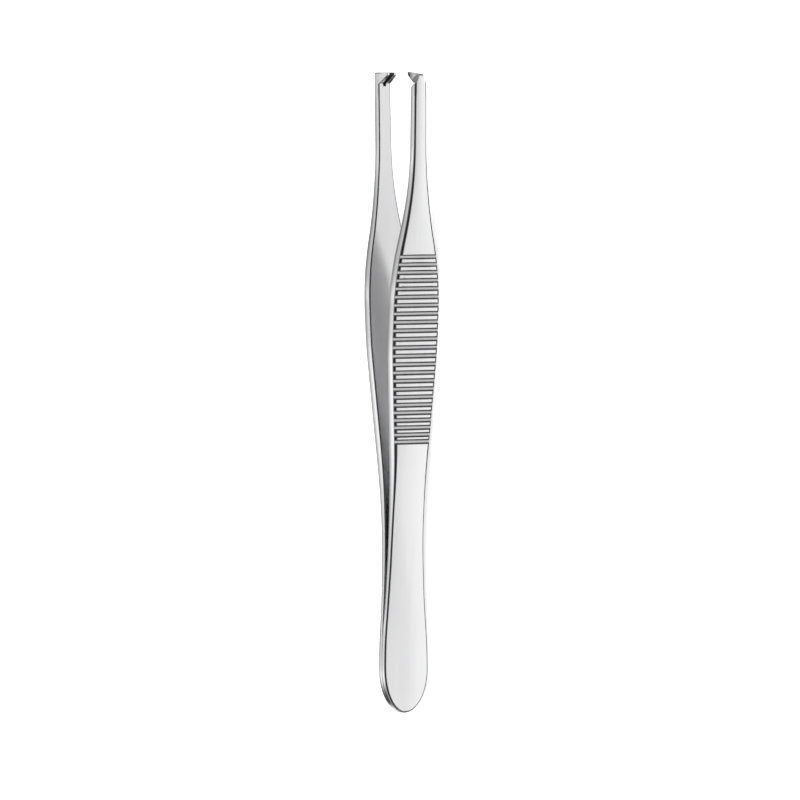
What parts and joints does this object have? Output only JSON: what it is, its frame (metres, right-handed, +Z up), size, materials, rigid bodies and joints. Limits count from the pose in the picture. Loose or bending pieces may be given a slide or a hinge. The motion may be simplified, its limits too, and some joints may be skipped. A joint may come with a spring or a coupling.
{
  "type": "thumb forceps",
  "caption": "Spring thumb forceps of polished steel: two blades welded at a rounded heel, cross-grooved grips, and a single tooth that closes between paired teeth.",
  "frame": {"origin": "centre of the base: middle of the length, on the weld plane between the two blades, at the level of the two grip edges that the forceps lies on", "axes": "+X from the heel to the toothed tips, +Y from the single tooth blade to the double tooth blade, +Z up, across the blades' width"},
  "size_m": [0.13, 0.0158, 0.011],
  "materials": {
    "polished_stainless": "polished stainless steel, finely satined, bright on the ridges of the grip"
  },
  "bodies": {
    "root": {"single_tooth_blade": "polished_stainless", "double_tooth_blade": "polished_stainless"}
  },
  "joints": []
}
